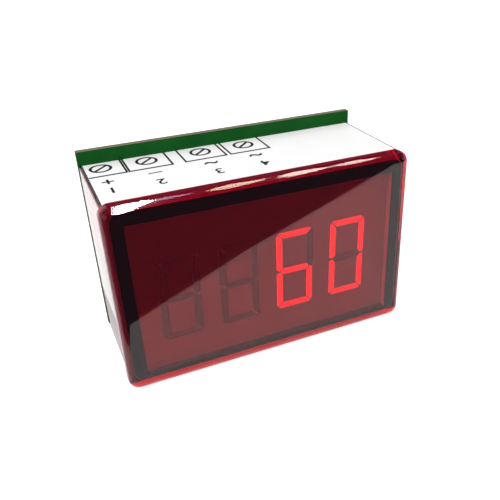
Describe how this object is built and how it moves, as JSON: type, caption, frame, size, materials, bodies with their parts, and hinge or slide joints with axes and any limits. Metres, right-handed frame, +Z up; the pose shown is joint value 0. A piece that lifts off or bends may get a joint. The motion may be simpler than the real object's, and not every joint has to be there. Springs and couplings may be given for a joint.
{
  "type": "digital panel meter",
  "caption": "Digital panel meter: ruby one-piece case with a front flange, lit four-digit display, and a rear circuit board with screw terminals.",
  "frame": {"origin": "centre of the flange's back face, where the meter seats on the panel", "axes": "+X to the right as seen from the front, +Y to the rear through the panel, +Z up"},
  "size_m": [0.068, 0.0424, 0.0455],
  "materials": {
    "ruby_plastic": "clear ruby, polished",
    "black_frame": "matt black",
    "grey_block": "matt grey",
    "dark_bar": "clear filling, not lit",
    "lit_bar": "clear filling, lit",
    "led_chip": "clear chip",
    "circuit_board": "solder mask over glass laminate",
    "chip_ceramic": "fired ceramic",
    "black_package": "moulded epoxy",
    "brass": "turned",
    "gold_pin": "bright",
    "plated_steel": "zinc plated",
    "label_paper": "satin white film",
    "terminal_green": "moulded, slight gloss",
    "tinned_brass": "tinned",
    "clamp_brass": "stamped",
    "nickel_can": "satin can",
    "capacitor_sleeve": "shrink sleeve",
    "white_package": "moulded epoxy",
    "resistor_body": "lacquer"
  },
  "bodies": {
    "meter": {"housing": "ruby_plastic", "mask_frame": "black_frame", "light_block": "grey_block", "digit_1_bars": "dark_bar", "digit_2_bars": "dark_bar", "digit_3_bars": "lit_bar", "digit_4_bars": "lit_bar", "digit_3_dark_bar": "dark_bar", "digit_4_dark_bar": "dark_bar", "segment_leds": "led_chip", "display_board": "circuit_board", "segment_resistors": "chip_ceramic", "digit_drivers": "black_package", "board_spacers": "brass", "header_strips": "black_package", "header_pins": "gold_pin", "rear_board": "circuit_board", "board_screws": "plated_steel", "top_label": "label_paper", "terminal_block_supply": "terminal_green", "terminal_block_input": "terminal_green", "terminal_contacts_supply": "tinned_brass", "terminal_contacts_input": "tinned_brass", "microcontroller": "black_package", "crystal": "nickel_can", "voltage_regulator": "black_package", "filter_capacitor": "capacitor_sleeve", "output_capacitor": "capacitor_sleeve", "input_optocoupler": "white_package", "input_resistors": "resistor_body", "supply_diode": "black_package"},
    "screw_1": {"terminal_screw_1": "plated_steel"},
    "clamp_1": {"wire_clamp_1": "clamp_brass"},
    "screw_2": {"terminal_screw_2": "plated_steel"},
    "clamp_2": {"wire_clamp_2": "clamp_brass"},
    "screw_3": {"terminal_screw_3": "plated_steel"},
    "clamp_3": {"wire_clamp_3": "clamp_brass"},
    "screw_4": {"terminal_screw_4": "plated_steel"},
    "clamp_4": {"wire_clamp_4": "clamp_brass"}
  },
  "joints": [
    {"name": "terminal_screw_1_turn", "type": "hinge", "parent": "meter", "child": "screw_1", "pos_m": [-0.02745, 0.0376, 0.0135], "axis": [0, -1, 0], "range_deg": [0, 2160]},
    {"name": "wire_clamp_1_travel", "type": "slide", "parent": "meter", "child": "clamp_1", "axis": [0, 1, 0], "range_m": [0, 0.003]},
    {"name": "terminal_screw_2_turn", "type": "hinge", "parent": "meter", "child": "screw_2", "pos_m": [-0.01795, 0.0376, 0.0135], "axis": [0, -1, 0], "range_deg": [0, 2160]},
    {"name": "wire_clamp_2_travel", "type": "slide", "parent": "meter", "child": "clamp_2", "axis": [0, 1, 0], "range_m": [0, 0.003]},
    {"name": "terminal_screw_3_turn", "type": "hinge", "parent": "meter", "child": "screw_3", "pos_m": [-0.00735, 0.0376, 0.0135], "axis": [0, -1, 0], "range_deg": [0, 2160]},
    {"name": "wire_clamp_3_travel", "type": "slide", "parent": "meter", "child": "clamp_3", "axis": [0, 1, 0], "range_m": [0, 0.003]},
    {"name": "terminal_screw_4_turn", "type": "hinge", "parent": "meter", "child": "screw_4", "pos_m": [0.00215, 0.0376, 0.0135], "axis": [0, -1, 0], "range_deg": [0, 2160]},
    {"name": "wire_clamp_4_travel", "type": "slide", "parent": "meter", "child": "clamp_4", "axis": [0, 1, 0], "range_m": [0, 0.003]}
  ],
  "couplings": [
    {"joint": "terminal_screw_1_turn", "follows": "wire_clamp_1_travel", "rad_per_m": 12566},
    {"joint": "terminal_screw_2_turn", "follows": "wire_clamp_2_travel", "rad_per_m": 12566},
    {"joint": "terminal_screw_3_turn", "follows": "wire_clamp_3_travel", "rad_per_m": 12566},
    {"joint": "terminal_screw_4_turn", "follows": "wire_clamp_4_travel", "rad_per_m": 12566}
  ]
}
